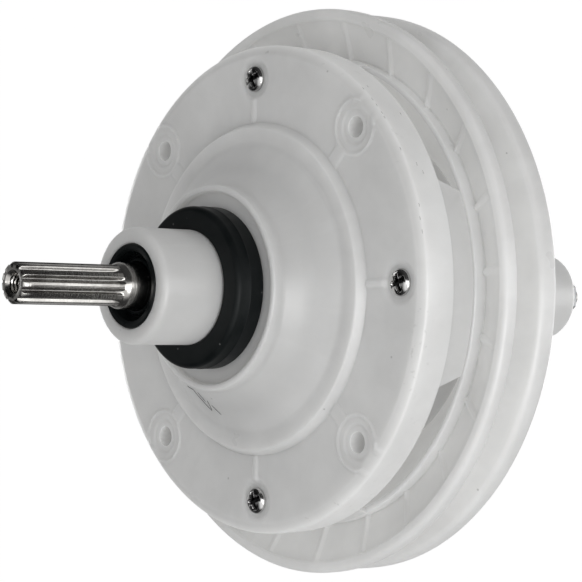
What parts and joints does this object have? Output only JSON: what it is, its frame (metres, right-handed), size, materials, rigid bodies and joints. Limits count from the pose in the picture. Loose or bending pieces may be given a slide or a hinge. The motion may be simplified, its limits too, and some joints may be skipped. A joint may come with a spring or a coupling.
{
  "type": "washing machine gearbox",
  "caption": "Planetary reduction gearbox of a twin-tub washer: splined output shaft, sealed neck, round bolt-on casing and a deep ribbed V-belt pulley behind it.",
  "frame": {"origin": "centre of the cover's mounting face, on the shaft axis, level with the face that bolts up under the tub", "axes": "+Z along the output shaft towards its splined tip (up as installed, pulley below), +X through a cover screw"},
  "size_m": [0.1528, 0.1528, 0.201],
  "materials": {
    "milky_plastic": "satin, translucent natural polypropylene",
    "black_rubber": "smooth moulded rubber",
    "spring_steel": "oiled spring steel",
    "sintered_bronze": "porous sintered bronze",
    "washer_steel": "zinc plated",
    "bright_steel": "ground and rolled",
    "sintered_steel": "sintered, oiled",
    "gear_nylon": "natural nylon",
    "plated_screw": "bright nickel plated"
  },
  "bodies": {
    "housing": {"upper_cover": "milky_plastic", "lower_casing": "milky_plastic", "casing_gasket": "black_rubber", "ring_gear": "gear_nylon", "tub_seal_ring": "black_rubber", "output_oil_seal": "black_rubber", "output_seal_spring": "spring_steel", "upper_output_bush": "sintered_bronze", "lower_output_bush": "sintered_bronze", "output_thrust_washer": "washer_steel", "carrier_thrust_washer": "washer_steel", "upper_input_bush": "sintered_bronze", "lower_input_bush": "sintered_bronze", "input_oil_seal": "black_rubber", "input_seal_spring": "spring_steel", "cover_screws": "plated_screw"},
    "pulley_drive": {"pulley": "milky_plastic", "pulley_hub_insert": "sintered_steel", "input_shaft": "bright_steel", "sun_gear": "sintered_steel", "sun_thrust_washer": "washer_steel", "input_circlip": "spring_steel", "end_washer": "washer_steel", "spring_washer": "washer_steel", "pulley_nut": "washer_steel"},
    "output": {"output_shaft": "bright_steel", "output_circlip": "spring_steel", "carrier_top_plate": "sintered_steel", "carrier_bottom_plate": "sintered_steel", "planet_pins": "bright_steel", "planet_washers": "washer_steel", "pilot_bush": "sintered_bronze"},
    "planet_1": {"planet_gear_1": "gear_nylon"},
    "planet_2": {"planet_gear_2": "gear_nylon"},
    "planet_3": {"planet_gear_3": "gear_nylon"},
    "planet_4": {"planet_gear_4": "gear_nylon"}
  },
  "joints": [
    {"name": "pulley_spin", "type": "hinge", "parent": "housing", "child": "pulley_drive", "pos_m": [0, 0, -0.099], "axis": [0, 0, 1], "continuous": true},
    {"name": "output_spin", "type": "hinge", "parent": "housing", "child": "output", "pos_m": [0, 0, 0.025], "axis": [0, 0, 1], "continuous": true},
    {"name": "planet_1_spin", "type": "hinge", "parent": "output", "child": "planet_1", "pos_m": [0.0225, 0, -0.0209], "axis": [0, 0, 1], "continuous": true},
    {"name": "planet_2_spin", "type": "hinge", "parent": "output", "child": "planet_2", "pos_m": [0, 0.0225, -0.0209], "axis": [0, 0, 1], "continuous": true},
    {"name": "planet_3_spin", "type": "hinge", "parent": "output", "child": "planet_3", "pos_m": [-0.0225, 0, -0.0209], "axis": [0, 0, 1], "continuous": true},
    {"name": "planet_4_spin", "type": "hinge", "parent": "output", "child": "planet_4", "pos_m": [0, -0.0225, -0.0209], "axis": [0, 0, 1], "continuous": true}
  ],
  "couplings": [
    {"joint": "output_spin", "follows": "pulley_spin", "ratio": 0.20833},
    {"joint": "planet_1_spin", "follows": "pulley_spin", "ratio": -0.56548},
    {"joint": "planet_2_spin", "follows": "pulley_spin", "ratio": -0.56548},
    {"joint": "planet_3_spin", "follows": "pulley_spin", "ratio": -0.56548},
    {"joint": "planet_4_spin", "follows": "pulley_spin", "ratio": -0.56548}
  ]
}
